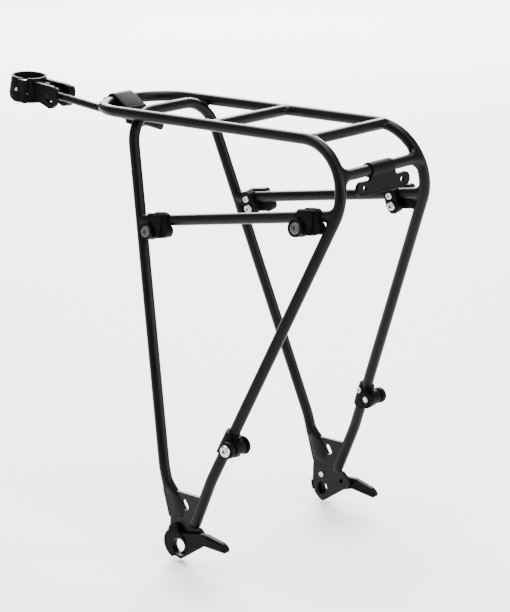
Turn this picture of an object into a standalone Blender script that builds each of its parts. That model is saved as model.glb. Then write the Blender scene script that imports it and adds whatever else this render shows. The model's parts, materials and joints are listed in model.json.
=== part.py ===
"""Bicycle rear rack: a welded tube frame with bag mounts, latching feet and a seatpost strut.

The origin is midway between the two frame studs that the feet hook on to.
+X points forward to the seatpost, +Y to the rack's left, +Z up.
Every size below is in millimetres; MM turns it into Blender's metres.
"""
from math import atan, cos, pi, radians, sin, sqrt, tan

import bmesh
import bpy
from mathutils import Matrix, Vector

MM = 0.001
GAP = 0.3              # clearance left between neighbouring pieces

# Welded frame
TUBE_RADIUS = 5.0
DECK_HEIGHT = 372.5    # axis of the deck tubes above the studs
HALF_WIDTH = 48.7      # axis of a deck rail from the middle of the rack
HOOP_NOSE = 158.0      # front of the deck hoop, on the tube's axis
NOSE_RADIUS = 45.0
REAR_BEND_RADIUS = 46.0
ARCH_RADIUS = 33.0
SPLAY = 0.1615         # how far each leg leans outward, per unit of drop
FRONT_LEG_TOP = 94.8   # X of the front leg's axis at deck height
FRONT_LEG_RAKE = 0.2507
REAR_LEG_TOP = -183.8  # X of the rear leg's axis, drawn up to deck height
REAR_LEG_RAKE = -0.468
LEG_KNEE_HEIGHT = 66.0  # below this the legs run straight down
LEG_KNEE_RADIUS = 70.0
LEG_END_HEIGHT = 21.0
MIDDLE_BAR_X = -5.9
REAR_BAR_X = -120.8
TAIL_BAR = (-154.1, 345.0)
RAIL_FRONT_HEIGHT = 279.4
RAIL_REAR_HEIGHT = 313.4

# Feet
PLATE_INNER = 96.5
PLATE_TOP = 47.6
PLATE_THICKNESS = 3.5
LATCH_INNER = 100.4
LATCH_THICKNESS = 5.4
LATCH_RADIUS = 12.0
GUARD_RADIUS = 14.5
LATCH_HOLE_RADIUS = 8.3
LATCH_DROP = -0.6        # the latches' axis below the origin
LATCH_REST = {"left": 4.0, "right": -1.5}   # degrees the levers stand above level

# Bag mounts on the lower rails
ADAPTER_PLACES = {"front": 0.1125, "rear": 0.8827}   # fractions of the rail from its front end
HOOK_BOSS = (-11.2, -9.3)         # on the rail's side face: rearward, up
PLAIN_BOSS = (9.0, -9.4)
CLAMP_SCREW_SPOT = (-5.9, -8.6)
SET_SCREW_SPOT = (-5.9, 0.6)

# Lower bag studs on the rear legs
STUD_HEIGHT = 101.0
STUD_SETBACK = 9.4
STUD_BODY_HALF = 7.0   # half the clamp's width across the rack

# Light bracket
BRACKET_HALF_PITCH = 25.0
BRACKET_OFFSET = 0.5

# Seatpost strut
STRUT_RADIUS = 3.7
STRUT_REAR_X = 106.5
STRUT_BLOCK_LENGTH = 20.0
STRUT_PIVOT = (252.0, 0.0, 368.6)
STRUT_SLOPE = 0.108
SEATPOST_X = 288.0
SEATPOST_RADIUS = 15.0
JAW_RADIUS = 18.4
JAW_LEAN = 5.5          # the jaws lean back with the seatpost, in degrees
JAW_BOTTOM = 357.4
JAW_TOP = 381.2

MATERIALS = {
    # name: base colour, roughness, metallic
    "powder_coat": ((0.012, 0.012, 0.013), 0.38, 0.0),
    "black_nylon": ((0.018, 0.018, 0.018), 0.55, 0.0),
    "zinc_steel": ((0.62, 0.63, 0.62), 0.32, 1.0),
    "grey_steel": ((0.20, 0.20, 0.20), 0.40, 1.0),
}

for leftover in list(bpy.data.objects):
    bpy.data.objects.remove(leftover)

rack = bpy.data.collections.new("rear_rack")
bench = bpy.data.collections.new("cutters")
bpy.context.scene.collection.children.link(rack)
bpy.context.scene.collection.children.link(bench)


def material(name):
    """The named finish, made on first use."""
    found = bpy.data.materials.get(name)
    if found:
        return found
    made = bpy.data.materials.new(name)
    made.use_nodes = True
    shader = made.node_tree.nodes["Principled BSDF"]
    colour, roughness, metallic = MATERIALS[name]
    shader.inputs["Base Color"].default_value = (*colour, 1.0)
    shader.inputs["Roughness"].default_value = roughness
    shader.inputs["Metallic"].default_value = metallic
    return made


# ---------------------------------------------------------------- shape tools
def at(x, y, z):
    """A shift to a point given in millimetres."""
    return Matrix.Translation(Vector((x, y, z)) * MM)


def turned(axis, degrees):
    return Matrix.Rotation(radians(degrees), 4, axis)


def frame(origin, x_axis, y_axis):
    """A local frame at origin with the two directions made square to each other."""
    x = Vector(x_axis).normalized()
    z = x.cross(Vector(y_axis)).normalized()
    y = z.cross(x)
    turn = Matrix((x, y, z)).transposed().to_4x4()
    return Matrix.Translation(Vector(origin) * MM) @ turn


def blank(mesh):
    """A loose working solid on the bench."""
    made = bpy.data.objects.new("blank", mesh)
    made.hide_render = True
    made.display_type = "WIRE"
    bench.objects.link(made)
    return made


def from_bmesh(work, place):
    bmesh.ops.recalc_face_normals(work, faces=work.faces)
    mesh = bpy.data.meshes.new("blank")
    work.to_mesh(mesh)
    work.free()
    mesh.transform(place)
    return blank(mesh)


def box(size, place=Matrix(), soften=0.0, segments=2):
    """A block centred on its place, with its edges rounded by soften."""
    work = bmesh.new()
    bmesh.ops.create_cube(work, size=1.0)
    bmesh.ops.scale(work, vec=Vector(size) * MM, verts=work.verts)
    if soften:
        bmesh.ops.bevel(work, geom=work.edges[:], offset=soften * MM, segments=segments,
                        profile=0.5, affect="EDGES")
    return from_bmesh(work, place)


def cylinder(radius, length, place=Matrix(), sides=28):
    """A cylinder along its place's Z axis, centred."""
    work = bmesh.new()
    bmesh.ops.create_cone(work, cap_ends=True, segments=sides, radius1=radius * MM,
                          radius2=radius * MM, depth=length * MM)
    return from_bmesh(work, place)


def solid_from_curve(curve, place=Matrix()):
    """A closed mesh solid from a curve, which is removed."""
    carrier = bpy.data.objects.new("curve", curve)
    bench.objects.link(carrier)
    bpy.context.view_layer.update()
    evaluated = carrier.evaluated_get(bpy.context.evaluated_depsgraph_get())
    mesh = bpy.data.meshes.new_from_object(evaluated)
    bpy.data.objects.remove(carrier)
    work = bmesh.new()
    work.from_mesh(mesh)
    bpy.data.meshes.remove(mesh)
    bmesh.ops.remove_doubles(work, verts=work.verts, dist=1e-6)
    return from_bmesh(work, place)


def tube(points, radius, resolution=4):
    """A round bar with filled ends along a run of points."""
    curve = bpy.data.curves.new("tube", "CURVE")
    curve.dimensions = "3D"
    spline = curve.splines.new("POLY")
    spline.points.add(len(points) - 1)
    for knot, point in zip(spline.points, points):
        knot.co = (*(Vector(point) * MM), 1.0)
    curve.bevel_depth = radius * MM
    curve.bevel_resolution = resolution
    curve.use_fill_caps = True
    return solid_from_curve(curve)


def plate(outlines, thickness, place=Matrix()):
    """A flat plate in its place's XY plane; outlines after the first are holes."""
    curve = bpy.data.curves.new("plate", "CURVE")
    curve.dimensions = "2D"
    curve.fill_mode = "BOTH"
    curve.extrude = thickness / 2 * MM
    for outline in outlines:
        spline = curve.splines.new("POLY")
        spline.points.add(len(outline) - 1)
        for knot, (x, y) in zip(spline.points, outline):
            knot.co = (x * MM, y * MM, 0.0, 1.0)
        spline.use_cyclic_u = True
    return solid_from_curve(curve, place)


def turning(profile, place=Matrix(), sides=24):
    """A solid turned from (radius, height) points, listed down its outer side from the top."""
    mesh = bpy.data.meshes.new("profile")
    edges = [(i, i + 1) for i in range(len(profile) - 1)]
    if profile[0][0] > 0.0:
        edges.append((len(profile) - 1, 0))
    mesh.from_pydata([(r * MM, 0.0, z * MM) for r, z in profile], edges, [])
    carrier = blank(mesh)
    lathe = carrier.modifiers.new("lathe", "SCREW")
    lathe.axis = "Z"
    lathe.steps = lathe.render_steps = sides
    lathe.use_merge_vertices = True
    lathe.merge_threshold = 1e-6
    bpy.context.view_layer.update()
    evaluated = carrier.evaluated_get(bpy.context.evaluated_depsgraph_get())
    work = bmesh.new()
    work.from_mesh(evaluated.data)
    bpy.data.objects.remove(carrier)
    bmesh.ops.remove_doubles(work, verts=work.verts, dist=1e-6)
    return from_bmesh(work, place)


def screw(head, shank, socket, place, sides=12):
    """A domed socket screw: (radius, height) of head, shank and socket; head's underside at place."""
    (wide, tall), (thin, length), (hollow, depth) = head, shank, socket
    profile = [(0.0, tall - depth), (hollow, tall - depth), (hollow, tall), (wide * 0.72, tall),
               (wide * 0.95, tall * 0.6), (wide, 0.0), (thin, 0.0), (thin, -length), (0.0, -length)]
    return turning(profile, place, sides)


def circle(x, y, radius, sides=20):
    return [(x + radius * cos(2 * pi * i / sides), y + radius * sin(2 * pi * i / sides))
            for i in range(sides)]


def slot(x, y, length, width, degrees, sides=6):
    """A stadium outline, length over its round ends, turned by degrees."""
    reach, r = (length - width) / 2, width / 2
    turn = radians(degrees)
    points = []
    for end, start in ((reach, -pi / 2), (-reach, pi / 2)):
        for i in range(sides + 1):
            u = end + r * cos(start + pi * i / sides)
            v = r * sin(start + pi * i / sides)
            points.append((x + u * cos(turn) - v * sin(turn), y + u * sin(turn) + v * cos(turn)))
    return points


def rounded(corners, step=12.0):
    """A run through corners (point, radius), each turned into an arc tangent to its sides."""
    points = []
    count = len(corners)
    size = len(corners[0][0])
    for i, (corner, radius) in enumerate(corners):
        here = Vector(corner) if size == 3 else Vector((*corner, 0.0))
        if not radius:
            points.append(tuple(here)[:size])
            continue
        before, after = (Vector((*corners[j % count][0], 0.0)[:3]) for j in (i - 1, i + 1))
        a, b = (before - here).normalized(), (after - here).normalized()
        half = a.angle(b) / 2
        reach = radius / tan(half)
        centre = here + (a + b).normalized() * (radius / sin(half))
        start, sweep = here + a * reach - centre, pi - 2 * half
        axis = a.cross(b).normalized()
        steps = max(2, round(sweep / radians(step)))
        for k in range(steps + 1):
            turn = Matrix.Rotation(-sweep * k / steps, 3, axis)
            points.append(tuple(centre + turn @ start)[:size])
    return points


def change(target, tools, operation):
    """Boolean target with each tool in turn; the tools are used up."""
    for tool in tools:
        boolean = target.modifiers.new("cut", "BOOLEAN")
        boolean.operation = operation
        boolean.solver = "EXACT"
        boolean.object = tool
    bpy.context.view_layer.update()
    evaluated = target.evaluated_get(bpy.context.evaluated_depsgraph_get())
    result = bpy.data.meshes.new_from_object(evaluated)
    target.modifiers.clear()
    target.data = result
    for tool in tools:
        bpy.data.objects.remove(tool)
    return target


def join(target, *others):
    return change(target, others, "UNION")


def cut(target, *tools):
    return change(target, tools, "DIFFERENCE")


def finish(work, name, finish_name, pivot=None):
    """Name a solid, give it its finish and put its origin on its joint's axis."""
    work.name = name
    work.data.name = name
    work.data.materials.clear()
    work.data.materials.append(material(finish_name))
    work.hide_render = False
    work.display_type = "TEXTURED"
    if pivot:
        work.data.transform(at(*(-v for v in pivot)))
        work.location = Vector(pivot) * MM
    work.data.shade_smooth()
    work.data.set_sharp_from_angle(angle=radians(35))
    bench.objects.unlink(work)
    rack.objects.link(work)
    return work


def flip(mesh):
    """Turn a left-hand shape into its right-hand mirror image."""
    mesh.transform(Matrix.Scale(-1, 4, (0, 1, 0)))
    mesh.flip_normals()


def mirrored(source, name):
    """The same piece on the rack's right side."""
    mesh = source.data.copy()
    flip(mesh)
    twin = bpy.data.objects.new(name, mesh)
    mesh.name = name
    twin.location = source.location * Vector((1, -1, 1))
    rack.objects.link(twin)
    return twin


def pair(work, name, finish_name, pivot=None):
    """A left piece and its mirror image on the right."""
    left = finish(work, name + "_left", finish_name, pivot)
    mirrored(left, name + "_right")


# ---------------------------------------------------------------- frame lines
def leg_point(top_x, rake, height):
    """A point on a left leg's straight part, drawn on to any height above the studs."""
    drop = DECK_HEIGHT - height
    return Vector((top_x - rake * drop, HALF_WIDTH + SPLAY * drop, height))


def front_leg(height):
    return leg_point(FRONT_LEG_TOP, FRONT_LEG_RAKE, height)


def rear_leg(height):
    return leg_point(REAR_LEG_TOP, REAR_LEG_RAKE, height)


def leg_foot(leg):
    """The knee and the lower end of a leg, which runs down without splay under the knee."""
    knee, end = leg(LEG_KNEE_HEIGHT), leg(LEG_END_HEIGHT)
    end.y = knee.y
    return [(end, 0), (knee, LEG_KNEE_RADIUS)]


def both_sides(half):
    """A left half run, from its free end to the middle, carried over to the right."""
    whole = half + [(Vector(p) * Vector((1, -1, 1)), r) for p, r in reversed(half)]
    return [(tuple(p), r) for p, r in whole]


HOOP_RUN = rounded(both_sides(leg_foot(rear_leg) + [
    (Vector((REAR_LEG_TOP, HALF_WIDTH, DECK_HEIGHT)), REAR_BEND_RADIUS),
    (Vector((HOOP_NOSE, HALF_WIDTH, DECK_HEIGHT)), NOSE_RADIUS),
]), 8.0)
ARCH_RUN = rounded(both_sides(leg_foot(front_leg) + [
    (Vector((FRONT_LEG_TOP, HALF_WIDTH, DECK_HEIGHT)), ARCH_RADIUS),
]), 10.0)
RAIL_ENDS = (front_leg(RAIL_FRONT_HEIGHT), rear_leg(RAIL_REAR_HEIGHT))


def stretched(run, reach=2.0):
    """A run carried on straight past both of its ends."""
    points = [Vector(p) for p in run]
    for end, near in ((0, 1), (-1, -2)):
        points[end] = points[end] + (points[end] - points[near]).normalized() * reach
    return points


def hoop_cutter():
    return tube(stretched(HOOP_RUN), TUBE_RADIUS + GAP)


def arch_cutter():
    return tube(stretched(ARCH_RUN), TUBE_RADIUS + GAP)


def make_frame():
    """The bent tubes of the deck and legs, and the bars welded between them."""
    finish(tube(HOOP_RUN, TUBE_RADIUS), "hoop_tube", "powder_coat")
    lugs = [box((60.0, 60.0, PLATE_TOP + GAP), at(20.0, s * 100.0, (PLATE_TOP + GAP) / 2)) for s in (1, -1)]
    finish(cut(tube(ARCH_RUN, TUBE_RADIUS), *lugs), "front_arch_tube", "powder_coat")
    bend_reach = REAR_LEG_TOP - REAR_BAR_X + REAR_BEND_RADIUS / tan((pi - atan(1 / -REAR_LEG_RAKE)) / 2)
    rear_drop = REAR_BEND_RADIUS - sqrt(REAR_BEND_RADIUS ** 2 - max(0.0, bend_reach) ** 2)
    bars = {
        "middle_crossbar": (MIDDLE_BAR_X, DECK_HEIGHT),
        "rear_crossbar": (REAR_BAR_X, DECK_HEIGHT - rear_drop),
        "tail_crossbar": TAIL_BAR,
    }
    for name, (x, z) in bars.items():
        bar = tube([(x, -HALF_WIDTH, z), (x, HALF_WIDTH, z)], TUBE_RADIUS)
        finish(cut(bar, hoop_cutter()), name, "powder_coat")
    rail = tube(RAIL_ENDS, TUBE_RADIUS)
    pair(cut(rail, hoop_cutter(), arch_cutter()), "lower_rail", "powder_coat")


# ---------------------------------------------------------------- feet
def side_plate(outlines, inner, thickness):
    """A plate drawn in X and Z, standing with its inner face at Y = inner."""
    stand = at(0, inner + thickness / 2, 0) @ turned("X", 90)
    return plate(outlines, thickness, stand)


def across(x, y, z):
    """A place whose Z axis runs along the rack's Y axis."""
    return at(x, y, z) @ turned("X", -90)


def make_dropout_plates():
    """The flat plates that join the leg ends and rest against the bicycle's frame."""
    front_top, rear_top = front_leg(PLATE_TOP), rear_leg(PLATE_TOP)
    front_low, rear_low = front_leg(LEG_END_HEIGHT), rear_leg(LEG_END_HEIGHT)
    edge = TUBE_RADIUS * sqrt(1 + REAR_LEG_RAKE ** 2) + GAP
    outline = rounded([
        ((front_top.x + TUBE_RADIUS - 0.8, PLATE_TOP), 0),
        ((rear_top.x + edge, PLATE_TOP), 0),
        ((rear_low.x + edge, LEG_END_HEIGHT - 3.4), 0),
        ((rear_low.x - 5.6, LEG_END_HEIGHT - 3.4), 1.5),
        ((-36.0, 8.0), 2.5),
        ((-29.5, 1.8), 3.0),
        ((1.0, -18.2), 5.0),
        ((10.0, -10.5), 6.0),
        ((12.1, 2.0), 6.0),
        ((11.6, 14.0), 6.0),
        ((front_low.x + TUBE_RADIUS - 0.8, 23.0), 2.0),
    ])
    holes = [
        slot(-8.2, 36.8, 10.8, 6.6, 58),
        slot(0.5, -4.0, 14.0, 11.6, -58),
        circle(-24.0, 8.0, 2.4, 10),
    ]
    side = side_plate([outline, *holes], PLATE_INNER, PLATE_THICKNESS)
    # the front leg's end is pressed flat on to the plate
    flat_end = rounded([
        ((front_top.x + TUBE_RADIUS - 0.8, PLATE_TOP), 0), ((front_top.x - TUBE_RADIUS, PLATE_TOP), 0),
        ((front_low.x - TUBE_RADIUS, 22.0), 2.0), ((front_low.x + TUBE_RADIUS - 0.8, 22.0), 2.0),
    ])
    pressed = side_plate([flat_end], PLATE_INNER - 0.8, PLATE_THICKNESS + 2.6)
    pair(cut(join(side, pressed), hoop_cutter()), "dropout_plate", "powder_coat")


def make_latches():
    """The rotary latches that close on the studs, their guards and rivets."""
    middle = LATCH_INNER + LATCH_THICKNESS / 2
    outline = rounded([
        ((-6.0, 10.2), 0),
        ((-30.0, 13.4), 6.0),
        ((-38.5, 14.0), 5.0),
        ((-58.5, 9.2), 6.0),
        ((-64.2, 4.2), 3.0),
        ((-60.5, 0.4), 3.0),
        ((-34.0, 3.0), 8.0),
        ((-24.0, -0.5), 8.0),
        ((-4.0, -11.0), 0),
    ])
    for side_name, side in (("left", 1), ("right", -1)):
        latch = side_plate([outline], LATCH_INNER, LATCH_THICKNESS - 1.2)
        ring = cylinder(LATCH_RADIUS, LATCH_THICKNESS, across(0, middle, 0), 28)
        paddle = box((24.0, 5.4, 8.0), at(-48.5, LATCH_INNER + 2.8, 6.6) @ turned("Y", -12), 1.4, 1)
        join(latch, ring, paddle)
        cut(latch, cylinder(LATCH_HOLE_RADIUS, 20.0, across(-4.0, middle, -2.4), 24))
        latch.data.transform(at(0, 0, LATCH_DROP) @ turned("Y", LATCH_REST[side_name]))
        if side < 0:
            flip(latch.data)
        finish(latch, f"latch_lever_{side_name}", "black_nylon", (0.0, side * middle, LATCH_DROP))

    inner = PLATE_INNER + PLATE_THICKNESS + GAP
    outer = LATCH_INNER + LATCH_THICKNESS
    angles = [radians(a) for a in range(-72, 105, 8)]
    wall = [(GUARD_RADIUS * cos(a), GUARD_RADIUS * sin(a) + LATCH_DROP) for a in angles]
    clear = LATCH_RADIUS + GAP
    wall += [(clear * cos(a), clear * sin(a) + LATCH_DROP) for a in reversed(angles)]
    guard = side_plate([wall], inner, outer - inner)
    ear = rounded([((11.9, 6.0), 0), ((8.2, 15.6), 3.0), ((-1.6, 18.0), 3.0), ((-2.4, 13.0), 0),
                   ((4.0, 12.6), 0)])
    join(guard, side_plate([ear], inner, 4.0))
    lips = [a for a in angles if radians(-36) < a < radians(12)]
    lip = [(GUARD_RADIUS * cos(a), GUARD_RADIUS * sin(a) + LATCH_DROP) for a in lips]
    lip += [(12.9 * cos(a), 12.9 * sin(a) + LATCH_DROP) for a in reversed(lips)]
    pair(join(guard, side_plate([lip], PLATE_INNER, outer - PLATE_INNER)), "latch_guard", "black_nylon")
    head = [(0.0, 0.4), (1.3, 0.4), (1.3, 1.0), (2.6, 1.0), (2.9, 0.0), (0.0, 0.0)]
    rivet = turning(head, across(0.6, PLATE_INNER - GAP, 9.8) @ turned("X", 180), 16)
    pair(rivet, "guard_rivet", "zinc_steel")


# ---------------------------------------------------------------- bag mounts
def rail_place(fraction):
    """A frame on the left lower rail: X rearward along it, Y up across it, Z outward."""
    front, rear = RAIL_ENDS
    along = (rear - front).normalized()
    outward = Vector((0, 1, SPLAY)).normalized()
    return frame(front.lerp(rear, fraction), along, outward.cross(along))


def point_of(place, x, y, z):
    """A local point of a place, in millimetres of the rack's frame."""
    return (place @ (Vector((x, y, z)) * MM)) / MM


def tube_bore(place, reach=40.0):
    """A cutter for the tube along a place's X axis."""
    return tube([point_of(place, x, 0, 0) for x in (-reach, reach)], TUBE_RADIUS + GAP)


def make_adapter(place, label):
    """One two-part clamp that carries a bag hook: body, cap, hook screw and clamp screws."""
    body = box((25.0, 13.5, 8.2), place @ at(0, 0.1, 4.5), 2.0, 1)
    hook_boss = cylinder(7.7, 10.4, place @ at(*HOOK_BOSS, 5.8), 20)
    plain_boss = cylinder(5.9, 7.4, place @ at(*PLAIN_BOSS, 4.6), 14)
    web = box((20.0, 10.0, 6.8), place @ at(0, -9.6, 4.1))
    rib_outline = [(-12.0, 3.2), (8.2, 3.2), (8.0, -1.0), (5.2, -14.0), (2.8, -14.0), (0.6, -5.0),
                   (-4.0, 0.0), (-12.0, 0.6)]
    rib = plate([rib_outline], 3.0, place @ at(0, 0, 8.1))
    join(body, hook_boss, plain_boss, web, rib)
    cut(body, tube_bore(place), box((60.0, 50.0, 20.0), place @ at(0, 0, -9.8)),
        cylinder(6.1, 3.0, place @ at(*HOOK_BOSS, 10.8), 16),
        cylinder(2.5, 9.0, place @ at(*HOOK_BOSS, 6.5), 10),
        cylinder(2.3, 6.0, place @ at(*CLAMP_SCREW_SPOT, 0.0), 10), hoop_cutter(), arch_cutter())
    pair(body, f"rail_clamp_{label}", "black_nylon")

    cap_outline = slot(CLAMP_SCREW_SPOT[0], -4.2, 24.4, 13.0, 90, 5)
    cap = plate([cap_outline], 8.4, place @ at(0, 0, -4.7))
    cut(cap, tube_bore(place),
        cylinder(2.3, 20.0, place @ at(*CLAMP_SCREW_SPOT, -6.0), 10),
        cylinder(2.1, 8.0, place @ at(*SET_SCREW_SPOT, -9.0), 10))
    pair(cap, f"rail_cap_{label}", "black_nylon")

    inward = turned("X", 180)
    hook = screw((5.8, 1.6), (2.2, 5.6), (2.0, 1.0), place @ at(*HOOK_BOSS, 9.6), 14)
    pair(hook, f"hook_screw_{label}", "grey_steel")
    clamp = screw((4.1, 2.4), (2.0, 10.6), (1.7, 1.4), place @ at(*CLAMP_SCREW_SPOT, -9.2) @ inward)
    pair(clamp, f"clamp_screw_{label}", "zinc_steel")
    set_screw = screw((3.2, 1.8), (1.8, 3.3), (1.4, 1.1), place @ at(*SET_SCREW_SPOT, -9.2) @ inward)
    pair(set_screw, f"set_screw_{label}", "zinc_steel")


def make_lower_studs():
    """The spool on each rear leg that catches a bag's lower arm, and its tube clamp."""
    leg = rear_leg(STUD_HEIGHT)
    down = (rear_leg(0.0) - rear_leg(100.0)).normalized()
    leg_frame = frame(leg, down, (0, 1, 0))          # X down the leg, Y outward
    axis = (leg.x - STUD_SETBACK, leg.z)

    def on_axis(y):
        return across(axis[0], y, axis[1])

    body = cylinder(7.4, 23.0, leg_frame @ at(-2.0, 0, 0) @ turned("Y", 90), 18)
    hub = cylinder(7.0, 11.0, on_axis(leg.y), 18)
    tail = box((13.0, 10.6, 12.0), leg_frame @ at(-2.0, 0.0, -6.0))
    join(body, hub, tail)
    flats = [box((60.0, 20.0, 60.0), at(leg.x, leg.y + side * (STUD_BODY_HALF + 10.0), leg.z))
             for side in (1, -1)]
    pin_spot = (leg.x - 0.6, leg.z + 7.4)
    cut(body, *flats, tube_bore(leg_frame), cylinder(3.2, 40.0, on_axis(leg.y), 12),
        cylinder(1.9, 6.0, across(pin_spot[0], leg.y - 9.6, pin_spot[1]), 10))
    pair(body, "stud_clamp", "black_nylon")

    outer, inner = leg.y + STUD_BODY_HALF + GAP, leg.y - STUD_BODY_HALF - GAP
    spool = [(7.0, 6.0), (7.5, 5.3), (7.5, 1.4), (6.2, 0.0), (3.3, 0.0), (3.3, 6.0)]
    pair(turning(spool, on_axis(outer), 20), "stud_spool", "black_nylon")
    flange = [(7.0, 3.2), (8.4, 2.2), (8.4, 0.8), (7.6, 0.0), (3.3, 0.0), (3.3, 3.2)]
    pair(turning(flange, on_axis(inner - 3.2), 20), "stud_flange", "black_nylon")
    bolt = screw((5.3, 2.6), (2.9, 23.0), (2.3, 1.6), on_axis(outer + 6.0 + GAP), 16)
    pair(bolt, "stud_bolt", "zinc_steel")
    pin = screw((2.8, 1.5), (1.6, 0.5), (1.2, 1.0), across(pin_spot[0], inner, pin_spot[1]) @ turned("X", 180))
    pair(pin, "stud_set_screw", "zinc_steel")


# ---------------------------------------------------------------- light bracket
def make_light_bracket():
    """A clip around the tail bar with a plate that takes a lamp on two holes."""
    x, z = TAIL_BAR
    face = x - 3.6
    outline = rounded([
        ((-35.0, -7.2), 6.0), ((-35.0, -19.6), 6.0), ((0.0, -20.4), 30.0),
        ((35.0, -19.6), 6.0), ((35.0, -7.2), 6.0), ((17.5, -8.0), 1.5), ((14.0, 0.0), 0),
        ((-14.0, 0.0), 0), ((-17.5, -8.0), 1.5),
    ])
    holes = [circle(side * BRACKET_HALF_PITCH, -13.4, 2.6, 14) for side in (-1, 1)]
    turn = Matrix(((0, 0, 1, 0), (1, 0, 0, 0), (0, 1, 0, 0), (0, 0, 0, 1)))
    lamp_plate = plate([outline, *holes], 3.0, at(face, BRACKET_OFFSET, z) @ turn)
    clip = cylinder(TUBE_RADIUS + 1.5, 28.0, across(x, BRACKET_OFFSET + 1.0, z), 20)
    join(lamp_plate, clip)
    cut(lamp_plate, cylinder(TUBE_RADIUS + GAP, 60.0, across(x, 0, z), 20),
        box((12.0, 60.0, 2.4), at(x + 7.0, 0, z - 2.0)))
    finish(lamp_plate, "light_bracket", "black_nylon")


# ---------------------------------------------------------------- strut and its clamp
def strut_height(x):
    return STRUT_PIVOT[2] + (x - STRUT_PIVOT[0]) * STRUT_SLOPE


def strut_frame(x):
    """A frame on the strut's axis: X forward along it, Y left."""
    return frame((x, 0, strut_height(x)), (1, 0, STRUT_SLOPE), (0, 1, 0))


def make_strut_clamp():
    """The block that hangs the strut under the hoop's nose: a base, a strap and a screw."""
    bore = STRUT_RADIUS + GAP
    block = strut_frame(HOOP_NOSE - 20.0) @ at(0, 0, 1.0)
    base = box((STRUT_BLOCK_LENGTH, 13.0, 2 * bore + 4.4), block, 1.4, 1)
    saddle = box((18.0, 13.0, 11.0), at(HOOP_NOSE - 6.0, 0, DECK_HEIGHT - 7.5))
    join(base, saddle)
    ends = [(x, 0, strut_height(x)) for x in (60.0, 300.0)]
    tail_place = at(HOOP_NOSE - 11.2, 0, DECK_HEIGHT - 1.0) @ turned("Y", -32)
    cut(base, tube(HOOP_RUN, TUBE_RADIUS + GAP), tube(ends, bore),
        box((90.0, 60.0, 20.0), at(HOOP_NOSE, 0, DECK_HEIGHT + 8.0)),
        box((40.0, 60.0, 20.0), tail_place @ at(0, 0, 10.0 - 2.3 - GAP)))
    finish(base, "strut_clamp_base", "black_nylon")

    over = cylinder(TUBE_RADIUS + 2.8, 25.0, across(HOOP_NOSE, 0, DECK_HEIGHT), 24)
    tail = box((26.0, 25.0, 4.6), tail_place, 1.5, 1)
    lip = box((9.0, 25.0, 4.4), at(HOOP_NOSE + 8.5, 0, DECK_HEIGHT + 0.4), 1.2, 1)
    join(over, tail, lip)
    cut(over, tube(HOOP_RUN, TUBE_RADIUS + GAP),
        box((26.0, 60.0, 20.0), at(HOOP_NOSE + 4.6, 0, DECK_HEIGHT - 12.0 + GAP)))
    finish(over, "strut_clamp_strap", "black_nylon")


def make_strut():
    """The steel rod and the eye on its front end."""
    rod = tube([(x, 0, strut_height(x)) for x in (STRUT_REAR_X, STRUT_PIVOT[0])], STRUT_RADIUS)
    eye = cylinder(6.2, 9.0, across(*STRUT_PIVOT), 24)
    join(rod, eye)
    cut(rod, cylinder(2.5 + GAP, 20.0, across(*STRUT_PIVOT), 16))
    finish(rod, "strut_rod", "powder_coat", (STRUT_REAR_X, 0.0, strut_height(STRUT_REAR_X)))


def leaned(work):
    """Tip a piece of the seat clamp back about the strut's pivot, as the seatpost stands."""
    px, py, pz = STRUT_PIVOT
    work.data.transform(at(px, py, pz) @ turned("Y", -JAW_LEAN) @ at(-px, -py, -pz))
    return work


def leaned_point(x, y, z):
    px, py, pz = STRUT_PIVOT
    return point_of(at(px, py, pz) @ turned("Y", -JAW_LEAN), x - px, y - py, z - pz)


def sector(start, stop, reach=60.0):
    """A wedge about the seatpost's axis between two angles, as a cutter."""
    angles = [radians(start + (stop - start) * i / 6) for i in range(7)]
    corners = [(SEATPOST_X, 0.0)]
    corners += [(SEATPOST_X + reach * cos(a), reach * sin(a)) for a in angles]
    return plate([corners], 90.0, at(0, 0, (JAW_TOP + JAW_BOTTOM) / 2))


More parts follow.
